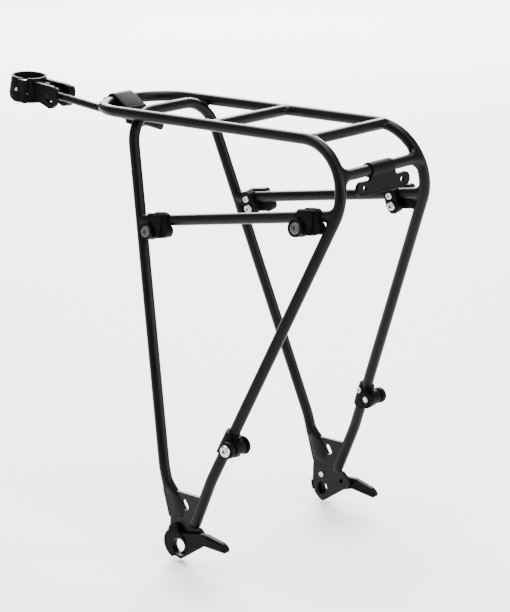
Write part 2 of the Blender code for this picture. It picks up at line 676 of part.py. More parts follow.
def make_seat_clamp():
    """Two jaws around the seatpost, hinged on the left, closed by a lever on the right."""
    height = JAW_TOP - JAW_BOTTOM
    middle = (JAW_TOP + JAW_BOTTOM) / 2
    hinge_angle = radians(126)
    hinge_reach = JAW_RADIUS + 1.6
    hinge = (SEATPOST_X + hinge_reach * cos(hinge_angle), hinge_reach * sin(hinge_angle))
    lower = 9.0                                   # height of the rear jaw's knuckle
    upper = height - lower - 1.0
    px, _, pz = STRUT_PIVOT
    axis = at(SEATPOST_X, 0, 0)
    ring = [(JAW_RADIUS - 1.4, JAW_TOP), (JAW_RADIUS + 0.7, JAW_BOTTOM + 7.0),
            (JAW_RADIUS + 0.2, JAW_BOTTOM)]
    solid = ring + [(11.0, JAW_BOTTOM), (11.0, JAW_TOP)]
    hollow = ring + [(SEATPOST_RADIUS, JAW_BOTTOM), (SEATPOST_RADIUS, JAW_TOP)]

    rear = cut(turning(solid, axis, 40), sector(-126, 134))
    cheek = rounded([((px - 12.2, pz + 10.2), 8.0), ((px + 23.5, pz + 9.8), 2.0),
                     ((px + 23.5, pz - 8.8), 2.0), ((px + 9.5, pz - 9.2), 10.0),
                     ((px - 4.2, pz - 12.8), 6.0), ((px - 12.2, pz - 7.6), 7.0)])
    eye_slot = slot(px - 3.0, pz - 4.9, 8.4, 3.0, 8, 4)
    cheeks = [side_plate([cheek, eye_slot], 5.0, 4.0), side_plate([cheek, eye_slot], -13.0, 4.0)]
    bridge = box((9.0, 20.0, 14.0), at(px + 17.0, -2.0, pz + 1.0))
    knuckle = cylinder(2.9, lower - 0.4, at(*hinge, JAW_BOTTOM + 0.2 + lower / 2), 14)
    web = box((6.5, 4.0, lower - 1.2), at(hinge[0] - 1.8, hinge[1] - 2.8, JAW_BOTTOM + lower / 2) @ turned("Z", 36))
    join(rear, *cheeks, bridge, knuckle, web)
    pin_bore = cylinder(2.5 + GAP, 40.0, across(*STRUT_PIVOT), 14)
    cut(rear, cylinder(SEATPOST_RADIUS, 60.0, at(SEATPOST_X, 0, middle), 40), pin_bore,
        cylinder(1.5 + GAP, 60.0, at(*hinge, middle), 12))
    finish(leaned(rear), "seat_clamp_rear_jaw", "black_nylon", STRUT_PIVOT)

    slope = at(SEATPOST_X, 0, JAW_BOTTOM) @ turned("Y", -17) @ at(20.0, 0, -15.0)
    front = cut(turning(hollow, axis, 40), sector(116, 244), box((40.0, 60.0, 30.0), slope))
    barrel_level = JAW_TOP - 0.4 - upper / 2
    barrel = cylinder(2.9, upper, at(*hinge, barrel_level), 14)
    arm = box((8.6, 4.0, upper - 0.8), at(hinge[0] + 3.2, hinge[1] + 0.5, barrel_level) @ turned("Z", 4))
    lever_pin = (SEATPOST_X + 13.5, -18.2)
    ears = [box((8.0, 8.0, 3.4), at(SEATPOST_X + 13.0, -17.2, z)) for z in (JAW_BOTTOM + 5.8, JAW_TOP - 4.8)]
    join(front, barrel, arm, *ears)
    cut(front, cylinder(1.5 + GAP, 60.0, at(*hinge, middle), 12),
        cylinder(1.5 + GAP, 60.0, at(*lever_pin, middle), 12))
    finish(leaned(front), "seat_clamp_front_jaw", "black_nylon", tuple(leaned_point(*hinge, middle)))

    hinge_pin = cylinder(1.5, height - 1.0, at(*hinge, middle), 12)
    finish(leaned(hinge_pin), "jaw_hinge_pin", "zinc_steel")
    finish(cylinder(2.5, 22.0, across(px, -2.0, pz), 14), "strut_pivot_pin", "zinc_steel")
    pin_top, pin_bottom = JAW_TOP - 2.8, JAW_BOTTOM + 3.8
    pin = cylinder(1.5, pin_top - pin_bottom, at(*lever_pin, (pin_top + pin_bottom) / 2), 12)
    finish(leaned(pin), "lever_pin", "zinc_steel")

    # The lever is a tall strap seen from the side, with a finger slot near its free end
    strap = rounded([((lever_pin[0] + 3.0, 374.0), 2.0), ((266.0, 374.4), 60.0), ((249.4, 373.6), 4.0),
                     ((249.2, 364.5), 9.0), ((254.0, 353.0), 5.0), ((266.0, 352.6), 8.0),
                     ((284.0, 357.4), 18.0), ((294.5, 365.3), 4.0),
                     ((lever_pin[0] + 3.0, 365.4), 2.0)])
    finger_slot = slot(275.9, 371.4, 16.4, 2.4, 0, 4)
    lever = side_plate([strap, finger_slot], -26.0, 3.4)
    barrel = cylinder(3.2, 9.2, at(*lever_pin, 369.8), 16)
    neck = box((4.4, 7.4, 8.6), at(lever_pin[0], -21.2, 369.8))
    join(lever, barrel, neck)
    cut(lever, cylinder(1.5 + GAP, 60.0, at(*lever_pin, middle), 12))
    finish(leaned(lever), "seat_clamp_lever", "black_nylon", tuple(leaned_point(*lever_pin, middle)))


make_frame()
make_dropout_plates()
make_latches()
for adapter, fraction in ADAPTER_PLACES.items():
    make_adapter(rail_place(fraction), adapter)
make_lower_studs()
make_light_bracket()
make_strut_clamp()
make_strut()
make_seat_clamp()
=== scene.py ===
import json

import bmesh
import bpy
import numpy as np
from mathutils import Matrix, Vector


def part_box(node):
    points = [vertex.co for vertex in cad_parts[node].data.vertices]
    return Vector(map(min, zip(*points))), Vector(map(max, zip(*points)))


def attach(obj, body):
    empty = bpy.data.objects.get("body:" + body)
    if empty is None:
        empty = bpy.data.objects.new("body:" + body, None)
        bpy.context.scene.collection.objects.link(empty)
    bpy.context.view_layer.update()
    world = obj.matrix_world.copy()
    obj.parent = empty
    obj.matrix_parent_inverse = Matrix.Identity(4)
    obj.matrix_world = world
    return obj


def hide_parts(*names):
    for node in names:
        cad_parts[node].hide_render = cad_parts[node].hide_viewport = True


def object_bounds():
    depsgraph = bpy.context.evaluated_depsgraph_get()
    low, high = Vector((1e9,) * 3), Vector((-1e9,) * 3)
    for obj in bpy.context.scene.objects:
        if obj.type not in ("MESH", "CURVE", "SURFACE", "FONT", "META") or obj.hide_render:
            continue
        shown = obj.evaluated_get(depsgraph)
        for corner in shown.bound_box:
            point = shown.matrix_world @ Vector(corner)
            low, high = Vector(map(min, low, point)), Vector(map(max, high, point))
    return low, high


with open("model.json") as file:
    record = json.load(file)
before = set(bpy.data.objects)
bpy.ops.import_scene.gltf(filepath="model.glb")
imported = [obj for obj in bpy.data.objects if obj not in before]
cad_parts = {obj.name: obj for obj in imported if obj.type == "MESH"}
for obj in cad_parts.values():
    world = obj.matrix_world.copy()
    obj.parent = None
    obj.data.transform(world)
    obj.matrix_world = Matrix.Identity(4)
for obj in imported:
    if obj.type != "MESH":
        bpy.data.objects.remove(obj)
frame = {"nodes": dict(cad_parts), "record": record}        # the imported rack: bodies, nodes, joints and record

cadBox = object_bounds()
record = frame["record"]
mm = 0.001               # sizes below are in millimetres and go through this
mergeGap = 1e-7          # metres: closer than this, two points of a grid are one


class Wire:
    # wraps one output socket, so that + and * on it add Math nodes to the same tree

    def __init__(self, tree, socket):
        self.tree = tree
        self.socket = socket

    def node(self, kind, settings, sockets, output=0):
        made = self.tree.nodes.new(kind)
        for key, value in settings.items():
            if key == "stops":
                for stop, (spot, shade) in zip(made.color_ramp.elements, value):
                    stop.position = spot
                    stop.color = (shade, shade, shade, 1.0)
            else:
                setattr(made, key, value)
        for key, value in sockets.items():
            if isinstance(value, Wire):
                self.tree.links.new(value.socket, made.inputs[key])
            else:
                made.inputs[key].default_value = value
        return Wire(self.tree, made.outputs[output])

    def math(self, operation, a, b):
        return self.node("ShaderNodeMath", {"operation": operation}, {0: a, 1: b})

    def __add__(self, other):
        return self.math("ADD", self, other)

    def __radd__(self, other):
        return self.math("ADD", other, self)

    def __mul__(self, other):
        return self.math("MULTIPLY", self, other)

    def noise(self, scale, detail, roughness=0.55):
        sockets = {"Vector": self, "Scale": scale, "Detail": detail, "Roughness": roughness}
        return self.node("ShaderNodeTexNoise", {}, sockets)

    def ramp(self, low, high):
        stops = ((low, 0.0), (high, 1.0))
        return self.node("ShaderNodeValToRGB", {"stops": stops}, {"Fac": self})

    def blend(self, first, second):
        # the colour first where this mask is 0, second where it is 1
        sockets = {0: self, 6: (*first, 1.0), 7: (*second, 1.0)}
        return self.node("ShaderNodeMix", {"data_type": "RGBA"}, sockets, 2)

    def bump(self, strength, depth):
        sockets = {"Strength": strength, "Distance": depth, "Height": self}
        return self.node("ShaderNodeBump", {}, sockets)


def newFinish(name, fixed, build):
    # a Principled material: fixed sockets are plain numbers, build(coords) returns the varying ones
    made = bpy.data.materials.new(name)
    made.use_nodes = True
    tree = made.node_tree
    shader = tree.nodes["Principled BSDF"]
    for key, value in fixed.items():
        shader.inputs[key].default_value = value
    coords = Wire(tree, tree.nodes.new("ShaderNodeTexCoord").outputs["Object"])
    for key, wire in build(coords).items():
        tree.links.new(wire.socket, shader.inputs[key])
    return made


# finishes: scales are noise cycles per metre, depths are metres
# Fine is how much each finer octave of a noise counts
powder = {"dark": (0.0007, 0.0007, 0.0008), "light": (0.0019, 0.0019, 0.0020),
          "cloud": 38.0, "cloudEdges": (0.35, 0.7), "peel": 650.0, "dust": 3250.0, "dustShare": 0.3,
          "rough": 0.27, "cloudRough": 0.13, "dustRough": 0.08,
          "bump": 0.22, "depth": 0.00016, "specular": 0.1}
nylon = {"dark": (0.0008, 0.0008, 0.0009), "light": (0.0028, 0.0028, 0.0029),
         "flow": 60.0, "flowEdges": (0.32, 0.72), "grain": 3600.0, "grainFine": 0.7,
         "rough": 0.36, "flowRough": 0.16, "grainRough": 0.12,
         "bump": 0.35, "depth": 0.00012, "specular": 0.045}
plated = {"patchEdges": (0.3, 0.72), "patchRough": 0.2, "markFine": 0.7,
          "bump": 0.25, "depth": 0.00008}
zinc = {"dark": (0.30, 0.31, 0.31), "light": (0.62, 0.63, 0.63), "marks": 1400.0, "patch": 260.0,
        "rough": 0.18}
steel = {"dark": (0.045, 0.045, 0.047), "light": (0.13, 0.13, 0.13), "marks": 1600.0, "patch": 320.0,
         "rough": 0.3}


def powderSurface(coords):
    # colour: two near-blacks mixed by slow cloud noise; height: orange peel + 0.3 x fine dust
    # roughness: 0.27 + 0.13 x cloud + 0.08 x dust
    cloud = coords.noise(powder["cloud"], detail=4.0)
    peel = coords.noise(powder["peel"], detail=2.0)
    dust = coords.noise(powder["dust"], detail=3.0)
    height = peel + dust * powder["dustShare"]
    return {"Base Color": cloud.ramp(*powder["cloudEdges"]).blend(powder["dark"], powder["light"]),
            "Roughness": powder["rough"] + cloud * powder["cloudRough"] + dust * powder["dustRough"],
            "Normal": height.bump(powder["bump"], powder["depth"])}


def nylonSurface(coords):
    # colour: melt-flow clouds between two blacks; height: fine moulded grain
    # roughness: 0.36 + 0.16 x flow + 0.12 x grain
    flow = coords.noise(nylon["flow"], detail=5.0)
    grain = coords.noise(nylon["grain"], detail=2.0, roughness=nylon["grainFine"])
    return {"Base Color": flow.ramp(*nylon["flowEdges"]).blend(nylon["dark"], nylon["light"]),
            "Roughness": nylon["rough"] + flow * nylon["flowRough"] + grain * nylon["grainRough"],
            "Normal": grain.bump(nylon["bump"], nylon["depth"])}


def metalSurface(metal):
    # colour: plated patches between two greys; height: fine turning marks
    # roughness: the metal's own + 0.2 x patch
    def build(coords):
        patch = coords.noise(metal["patch"], detail=3.0)
        marks = coords.noise(metal["marks"], detail=4.0, roughness=plated["markFine"])
        return {"Base Color": patch.ramp(*plated["patchEdges"]).blend(metal["dark"], metal["light"]),
                "Roughness": metal["rough"] + patch * plated["patchRough"],
                "Normal": marks.bump(plated["bump"], plated["depth"])}
    return build


finishes = {
    "powder_coat": newFinish("powderCoat", {"Specular IOR Level": powder["specular"]}, powderSurface),
    "black_nylon": newFinish("mouldedNylon", {"Specular IOR Level": nylon["specular"]}, nylonSurface),
    "zinc_steel": newFinish("zincPlate", {"Metallic": 1.0}, metalSurface(zinc)),
    "grey_steel": newFinish("greySteel", {"Metallic": 1.0}, metalSurface(steel)),
}
slotOf = {entry["node"]: entry["material_slot"] for entry in record["subparts"]}
slotOf["strut_pivot_pin"] = "powder_coat"     # its end is blacked, unlike the other pins
bodies = record["behaviour"]["bodies"]
bodyOf = {node: body for body, nodes in bodies.items() for node in nodes}
print("finishes ready:", len(finishes))


def place(name, mesh, slotName, body, *replaced):
    # puts a finished mesh on its body, with the finish of its slot
    piece = bpy.data.objects.new(name, mesh)
    bpy.context.scene.collection.objects.link(piece)
    mesh.materials.clear()
    mesh.materials.append(finishes[slotName])
    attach(piece, body)
    if replaced:
        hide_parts(*replaced)
    return piece


def gridMesh(name, sheets, sharp=40.0):
    # sheets are (points, closedAcross, closedAlong, capped)
    # points is rows x columns x 3, in millimetres; a capped sheet gets a lid at its first and last row
    spots, quads, lids = [], [], []
    start = 0
    for points, closedAcross, closedAlong, capped in sheets:
        rows, columns = points.shape[:2]
        index = start + np.arange(rows * columns).reshape(rows, columns)
        if closedAlong:
            index = np.vstack([index, index[:1]])
        if closedAcross:
            index = np.hstack([index, index[:, :1]])
        corners = (index[:-1, :-1], index[:-1, 1:], index[1:, 1:], index[1:, :-1])
        quads += np.stack(corners, -1).reshape(-1, 4).tolist()
        if capped:
            ring = index[:, :columns]
            lids += [ring[0][::-1].tolist(), ring[-1].tolist()]
        spots.append(points.reshape(-1, 3))
        start += rows * columns
    mesh = bpy.data.meshes.new(name)
    mesh.from_pydata((np.vstack(spots) * mm).tolist(), [], quads + lids)
    work = bmesh.new()
    work.from_mesh(mesh)
    bmesh.ops.remove_doubles(work, verts=work.verts, dist=mergeGap)
    bmesh.ops.recalc_face_normals(work, faces=work.faces)
    work.to_mesh(mesh)
    work.free()
    mesh.shade_smooth()
    mesh.set_sharp_from_angle(angle=np.radians(sharp))
    return mesh


def unit(vectors):
    return vectors / np.linalg.norm(vectors, axis=-1, keepdims=True)


def fullTurn(count):
    return np.linspace(0, 2 * np.pi, count, endpoint=False)


def filletPath(corners, step=3.0):
    # straight runs between corners, with an arc of each corner's radius tangent to both sides
    # the arc's points are step degrees apart
    path = []
    for i, (corner, radius) in enumerate(corners):
        here = np.array(corner, float)
        if not radius:
            path.append(here[None])
            continue
        before = unit(np.array(corners[i - 1][0], float) - here)
        after = unit(np.array(corners[i + 1][0], float) - here)
        half = np.arccos(np.clip(before @ after, -1, 1)) / 2
        centre = here + unit(before + after) * radius / np.sin(half)
        first = here + before * radius / np.tan(half) - centre
        last = here + after * radius / np.tan(half) - centre
        sweep = np.pi - 2 * half
        t = np.linspace(0, 1, max(3, int(np.degrees(sweep) / step) + 1))[:, None]
        turned = np.sin((1 - t) * sweep) * first + np.sin(t * sweep) * last
        path.append(centre + turned / np.sin(sweep))
    return np.vstack(path)


def ringsAlong(path, radius, sides=40):
    # circle carried along a path: centre + radius (cos a . normal + sin a . binormal)
    # steady is a direction that none of the paths runs along, so the rings never twist
    steady = (0.5, 0.62, -0.6)
    ahead = np.roll(path, -1, 0) - np.roll(path, 1, 0)
    ahead[0] = path[1] - path[0]
    ahead[-1] = path[-1] - path[-2]
    ahead = unit(ahead)
    normal = unit(np.cross(ahead, steady))
    binormal = np.cross(ahead, normal)
    angle = fullTurn(sides)[None, :, None]
    radius = np.broadcast_to(radius, len(path))[:, None, None]
    around = np.cos(angle) * normal[:, None] + np.sin(angle) * binormal[:, None]
    return path[:, None] + radius * around


def outFrom(points, path):
    # for each point, the shortest way out to it from a run of straight pieces
    first, run = path[:-1], np.diff(path, axis=0)
    share = ((points[:, None] - first) * run).sum(-1) / (run * run).sum(-1)
    ways = points[:, None] - first - np.clip(share, 0, 1)[..., None] * run
    closest = np.linalg.norm(ways, axis=-1).argmin(1)
    return ways[np.arange(len(points)), closest]


# tubes: one profile carried along each bent line
tubes = {"radius": 5.0, "deck": 372.5, "half": 48.7, "splay": 0.1615, "knee": 66.0,
         "kneeRadius": 70.0, "nose": 158.0, "noseRadius": 45.0, "rearRadius": 46.0,
         "archRadius": 33.0, "foot": 21.0, "frontTop": 94.8, "frontRake": 0.2507,
         "rearTop": -183.8, "rearRake": -0.468}


def legPoint(top, rake, height):
    # a point on a left leg's straight line: it leans along X by rake and outwards by splay
    drop = tubes["deck"] - height
    return np.array([top - rake * drop, tubes["half"] + tubes["splay"] * drop, height])


def frontLeg(height):
    return legPoint(tubes["frontTop"], tubes["frontRake"], height)


def rearLeg(height):
    return legPoint(tubes["rearTop"], tubes["rearRake"], height)


def bothSides(left):
    mirror = np.array([1, -1, 1])
    return left + [(np.array(point) * mirror, radius) for point, radius in reversed(left)]


def legFoot(leg, endHeight):
    # below the knee a leg stops leaning outwards
    knee, end = leg(tubes["knee"]), leg(endHeight)
    end[1] = knee[1]
    return [(end, 0), (knee, tubes["kneeRadius"])]


def deckCorner(x, radius):
    return (x, tubes["half"], tubes["deck"]), radius


hoopPath = filletPath(bothSides(legFoot(rearLeg, tubes["foot"]) + [
    deckCorner(tubes["rearTop"], tubes["rearRadius"]),
    deckCorner(tubes["nose"], tubes["noseRadius"])]))
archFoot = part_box("front_arch_tube")[0].z / mm
archPath = filletPath(bothSides(legFoot(frontLeg, archFoot) + [
    deckCorner(tubes["frontTop"], tubes["archRadius"])]))
for name, node, path in (("hoopTube", "hoop_tube", hoopPath),
                         ("frontArchTube", "front_arch_tube", archPath)):
    mesh = gridMesh(name, [(ringsAlong(path, tubes["radius"]), True, False, True)])
    place(name, mesh, "powder_coat", "rack", node)


# bars across the deck and down the sides; skin is how far they lie under the tubes' surface
# each crossbar has the spread of its welds, and each rail end its height, weld reach and spread
bars = {"skin": 0.02, "short": 1.6, "rows": 9, "weldReach": 22.0,
        "spread": {"middle_crossbar": 0.8, "rear_crossbar": 0.8, "tail_crossbar": 1.25},
        "railFront": 279.4, "railFrontReach": 14.0, "railFrontSpread": 0.7,
        "railRear": 313.4, "railRearReach": 16.0, "railRearSpread": 1.0}


def barLine(node):
    # a crossbar's axis, from its node's box, run on to the middle of the deck tubes
    low, high = (np.array(corner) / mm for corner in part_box(node))
    middle = (low + high) / 2
    end = tubes["half"] - bars["short"]
    return np.array([[middle[0], -end, middle[2]], [middle[0], end, middle[2]]])


def barMesh(name, line):
    t = np.linspace(0, 1, bars["rows"])[:, None]
    path = line[0] * (1 - t) + line[1] * t
    return gridMesh(name, [(ringsAlong(path, tubes["radius"] - bars["skin"]), True, False, True)])


# welds: length is the bead's widest reach, pitch and ripple its waves, depth how far it is buried
weld = {"length": 5.6, "leastShare": 0.12, "ripple": 0.05, "pitch": 2.6, "depth": 1.2, "sunk": 0.04,
        "slant": 0.05, "columns": 96, "rows": 9, "halvings": 18, "aside": (0.31, 0.22, 0.92), "edge": 60}


def weldFillet(start, direction, reach, target, spread=1.0):
    # walks each side of a round bar along its axis, at most reach, until it meets the target tube
    # from that closed line C the bead runs from A on the bar to B on the tube, pulled towards C:
    # (1-t)^2 A + 2t(1-t) C + t^2 B; its length follows the sine of the angle between the surfaces
    direction = unit(np.array(direction, float))
    side = unit(np.cross(direction, weld["aside"]))
    other = np.cross(direction, side)
    angle = fullTurn(weld["columns"])[:, None]
    barNormal = np.cos(angle) * side + np.sin(angle) * other
    rim = start + tubes["radius"] * barNormal
    near, far = np.zeros((weld["columns"], 1)), np.full((weld["columns"], 1), reach)
    for halving in range(weld["halvings"]):
        middle = (near + far) / 2
        away = np.linalg.norm(outFrom(rim + middle * direction, target), axis=1, keepdims=True)
        near = np.where(away > tubes["radius"], middle, near)
        far = np.where(away > tubes["radius"], far, middle)
    meet = rim + near * direction
    tubeNormal = unit(outFrom(meet, target))
    together = (barNormal * tubeNormal).sum(1, keepdims=True)
    meeting = np.sqrt(np.clip(1 - together ** 2, 0, 1))
    waves = round(2 * np.pi * tubes["radius"] / weld["pitch"])
    share = weld["leastShare"] + (1 - weld["leastShare"]) * meeting
    length = spread * weld["length"] * share * (1 + weld["ripple"] * np.abs(np.sin(angle * waves / 2)))
    outward = barNormal - together * tubeNormal
    outward = outward / np.maximum(np.linalg.norm(outward, axis=1, keepdims=True), weld["slant"])
    onTube = meet + length * outward
    way = outFrom(onTube, target)
    onTube = onTube - way + (tubes["radius"] - weld["sunk"]) * unit(way)
    onBar = meet - length * direction - weld["sunk"] * barNormal
    t = np.linspace(0, 1, weld["rows"])[None, :, None]
    curve = (1 - t) ** 2 * onBar[:, None] + 2 * t * (1 - t) * meet[:, None] + t ** 2 * onTube[:, None]
    buried = (meet - weld["depth"] * (barNormal + tubeNormal))[:, None]
    return np.concatenate([curve, buried], 1), True, True, False


beads = []
for barName, spread in bars["spread"].items():
    line = barLine(barName)
    place(barName + "Tube", barMesh(barName, line), "powder_coat", "rack", barName)
    for end, away in ((0, 1), (1, -1)):
        inner = line[end] + np.array([0, bars["weldReach"] * away, 0])
        beads.append(weldFillet(inner, (0, -away, 0), bars["weldReach"], hoopPath, spread))
railFront, railRear = frontLeg(bars["railFront"]), rearLeg(bars["railRear"])
for sideName, flip in (("left", 1), ("right", -1)):
    line = np.array([railFront, railRear]) * np.array([1, flip, 1])
    place(f"lowerRail_{sideName}", barMesh("lowerRail", line),
          "powder_coat", "rack", f"lower_rail_{sideName}")
    along = unit(line[1] - line[0])
    reach = bars["railFrontReach"]
    beads.append(weldFillet(line[0] + along * reach, -along, reach, archPath, bars["railFrontSpread"]))
    reach = bars["railRearReach"]
    beads.append(weldFillet(line[1] - along * reach, along, reach, hoopPath, bars["railRearSpread"]))

# where the arch's corner runs beside a deck rail, a tapered filler lies midway between the two axes
# its radius is size x root of (1 - taper t^2), with t from -1 to 1 along it
filler = {"below": 60, "reach": 13.5, "size": 3.4, "taper": 0.96, "waves": 9, "sides": 20}
for flip in (1, -1):
    corner = archPath[(archPath[:, 1] * flip > 0) & (archPath[:, 2] > tubes["deck"] - filler["below"])]
    way = outFrom(corner, hoopPath)
    close = np.linalg.norm(way, axis=1) < filler["reach"]
    middleLine = (corner - way / 2)[close]
    t = np.linspace(-1, 1, len(middleLine))
    size = filler["size"] * np.sqrt(1 - filler["taper"] * t * t)
    size = size * (1 + weld["ripple"] * np.abs(np.sin(t * filler["waves"])))
    beads.append((ringsAlong(middleLine, size, filler["sides"]), True, False, True))
place("weldBeads", gridMesh("weldBeads", beads, weld["edge"]), "powder_coat", "rack")
print("tubes and welds ready:", len(beads), "beads")


# pressed ends: each tube flattens as it runs down on to its foot plate
# Flat and Wide are half sizes, Ease the share of the way in which they are reached
pressed = {"plateMiddle": 98.3, "frontTop": 58.0, "frontEnd": 22.6, "frontFlat": 3.6,
           "frontWide": 10.5, "frontEase": 0.5, "frontLean": -1.0, "rearLength": 6.0, "rearFlat": 2.2,
           "rearWide": 6.2, "rearEase": 0.9, "rearLean": 0.0,
           "rows": 28, "columns": 40, "closing": 0.14, "leastWide": 0.02, "leastThin": 0.25}


def flattened(start, end, which):
    # an oval carried down a leg: it widens, towards the other leg by lean, and thins on to the plate
    # both follow a smooth step of the share of the way; the last rings close over as a quarter round
    halfWide, halfThin, ease, lean = (pressed[which + key] for key in ("Wide", "Flat", "Ease", "Lean"))
    t = np.linspace(0, 1, pressed["rows"])
    centre = np.array(start)[None] * (1 - t[:, None]) + np.array(end)[None] * t[:, None]
    fall = np.clip(t / ease, 0, 1)
    fall = fall * fall * (3 - 2 * fall)
    past = np.clip(t - 1 + pressed["closing"], 0, 1) / pressed["closing"]
    closing = np.sqrt(np.clip(1 - past ** 2, pressed["leastWide"] ** 2, 1))
    wide = (tubes["radius"] + (halfWide - tubes["radius"]) * fall) * closing
    thin = tubes["radius"] + (halfThin - tubes["radius"]) * fall
    thin = thin * (pressed["leastThin"] + (1 - pressed["leastThin"]) * closing)
    centre[:, 1] = start[1] + (pressed["plateMiddle"] - start[1]) * fall
    angle = fullTurn(pressed["columns"])[None]
    points = np.repeat(centre[:, None], pressed["columns"], 1)
    points[..., 0] += wide[:, None] * np.cos(angle)
    points[..., 0] += (lean * (halfWide - tubes["radius"]) * fall)[:, None]
    points[..., 1] += thin[:, None] * np.sin(angle)
    return points


rearStart, rearWay = hoopPath[0], unit(hoopPath[1] - hoopPath[0])
frontStart, frontEnd = frontLeg(pressed["frontTop"]), frontLeg(pressed["frontEnd"])
frontStart[1] = archPath[0][1]
for sideName, flip in (("left", 1), ("right", -1)):
    mirror = np.array([1, flip, 1])
    front = flattened(frontStart, frontEnd, "front") * mirror
    rear = flattened(rearStart + rearWay, rearStart - rearWay * pressed["rearLength"], "rear") * mirror
    mesh = gridMesh("pressedEnds", [(front, True, False, True), (rear, True, False, True)])
    place(f"pressedEnds_{sideName}", mesh, "powder_coat", "rack")
print("pressed ends ready")


# screws: one turned profile with a six-sided socket; each kind has its socket's radius and depth
screws = {"hook_screw": (2.0, 1.3), "clamp_screw": (1.75, 1.6), "set_screw": (1.4, 1.2),
          "stud_bolt": (2.1, 1.7), "stud_set": (1.15, 1.0)}
turning = {"columns": 48, "rimShare": 0.985, "shankLength": 0.8, "shankShare": 0.6, "middle": 0.02,
           "socketFoot": 0.98, "bevel": 0.15, "bevelShare": 1.1, "crown": 0.62, "brow": 0.25,
           "domeRows": 7, "tipPoints": 6, "aside": (0.9, 0.1, 0.3), "edge": 32}
railOut = unit(np.array([0.0, 1.0, tubes["splay"]]))


def screwShape(node, direction, socket, depth):
    # rings about the screw's own axis, read from its node: head top, radius and underside
    # the socket's rings follow a hexagon: radius = r cos 30 / cos((a mod 60) - 30)
    spots = np.array([v.co for v in frame["nodes"][node].data.vertices]) / mm
    spots = np.unique(spots.round(4), axis=0)
    centre = spots.mean(0)
    level = (spots - centre) @ direction
    away = np.linalg.norm(spots - centre - level[:, None] * direction, axis=1)
    top, tip, wide = level.max(), level.min(), away.max()
    under = level[away > wide * turning["rimShare"]].min()
    hasShank = under - tip > turning["shankLength"]
    thin = wide * turning["shankShare"]
    if hasShank:
        thin = away[np.argsort(level)[:turning["tipPoints"]]].max()
    side = unit(np.cross(direction, turning["aside"]))
    other = np.cross(direction, side)
    angle = fullTurn(turning["columns"])
    hexagon = np.cos(np.pi / 6) / np.cos(angle % (np.pi / 3) - np.pi / 6)
    crown, brow = turning["crown"], turning["brow"]
    rows = [(socket * turning["middle"], top - depth, 0),
            (socket * turning["socketFoot"], top - depth, 1),
            (socket, top - turning["bevel"], 1),
            (socket * turning["bevelShare"], top, 1),
            (wide * crown, top, 0)]
    for a in np.linspace(0, np.pi / 2, turning["domeRows"])[1:]:
        outwards = crown + (1 - crown) * np.sin(a)
        upwards = brow + (1 - brow) * np.cos(a)
        rows.append((wide * outwards, under + (top - under) * upwards, 0))
    rows += [(wide, under, 0), (thin, under, 0), (thin, tip, 0), (thin * turning["middle"], tip, 0)]
    radius, height, six = np.array(rows).T[..., None]
    radius = radius * np.where(six, hexagon, 1.0)
    around = np.cos(angle)[:, None] * side + np.sin(angle)[:, None] * other
    return centre + radius[..., None] * around + height[..., None] * direction


for node in sorted(frame["nodes"]):
    kind = next((key for key in screws if node.startswith(key)), None)
    if kind is None:
        continue
    sideways = -1 if node.endswith("right") else 1
    inwards = 1 if kind in ("hook_screw", "stud_bolt") else -1
    direction = (np.array([0.0, 1.0, 0.0]) if kind.startswith("stud") else railOut) * inwards
    direction = direction * np.array([1, sideways, 1])
    shape = screwShape(node, direction, *screws[kind])
    mesh = gridMesh(node, [(shape, True, False, True)], turning["edge"])
    place(node + "_turned", mesh, slotOf[node], bodyOf[node], node)
print("screws ready")


# nose strap: one outline, drawn from the side, carried across the rack with rounded ends
# the arcs' angles are degrees up from forwards, about the axis of the deck's nose
strap = {"axis": (158.0, 372.5), "outer": 7.8, "inner": 5.3, "half": 12.5, "soften": 1.6,
         "outerArc": (30, 122, 16), "innerArc": (176, 2, 22), "rows": 7, "step": 20, "edge": 50}


def arc(centre, radius, start, stop, count):
    angle = np.radians(np.linspace(start, stop, count))
    x, z = centre[0] + radius * np.cos(angle), centre[1] + radius * np.sin(angle)
    return np.stack([x, 0 * angle, z], 1)


def carriedAcross(outline, half, soften, rows):
    # each row is the outline moved inwards by soften (1 - sin a) near either end, a quarter round
    along = np.roll(outline, -1, 0) - np.roll(outline, 1, 0)
    inward = unit(np.stack([-along[:, 2], 0 * along[:, 0], along[:, 0]], 1))
    following = np.roll(outline, -1, 0)
    area = (outline[:, 0] * following[:, 2] - following[:, 0] * outline[:, 2]).sum()
    inward = inward * np.sign(area)
    turn = np.linspace(0, np.pi / 2, rows)
    shift = np.concatenate([soften * (1 - np.sin(turn)), soften * (1 - np.sin(turn[::-1]))])
    fromEnd = soften * (1 - np.cos(turn))
    level = np.concatenate([fromEnd - half, half - fromEnd[::-1]])
    return outline + shift[:, None, None] * inward + level[:, None, None] * np.array([0, 1.0, 0])


strapLip = filletPath([((163.4, 0, 371.2), 0), ((170.9, 0, 371.2), 1.2), ((170.9, 0, 374.9), 1.4),
                       ((167.4, 0, 375.2), 2.0), ((165.6, 0, 377.6), 0)], strap["step"])[:-1]
strapTail = filletPath([((153.6, 0, 378.9), 0), ((135.6, 0, 367.4), 1.6), ((138.4, 0, 363.8), 1.0),
                        ((152.6, 0, 372.6), 0)], strap["step"])[1:-1]
strapOutline = np.vstack([strapLip, arc(strap["axis"], strap["outer"], *strap["outerArc"]),
                          strapTail, arc(strap["axis"], strap["inner"], *strap["innerArc"])])
strapRows = carriedAcross(strapOutline, strap["half"], strap["soften"], strap["rows"])
place("noseStrap", gridMesh("noseStrap", [(strapRows, True, False, True)], strap["edge"]),
      "black_nylon", "rack", "strut_clamp_strap")

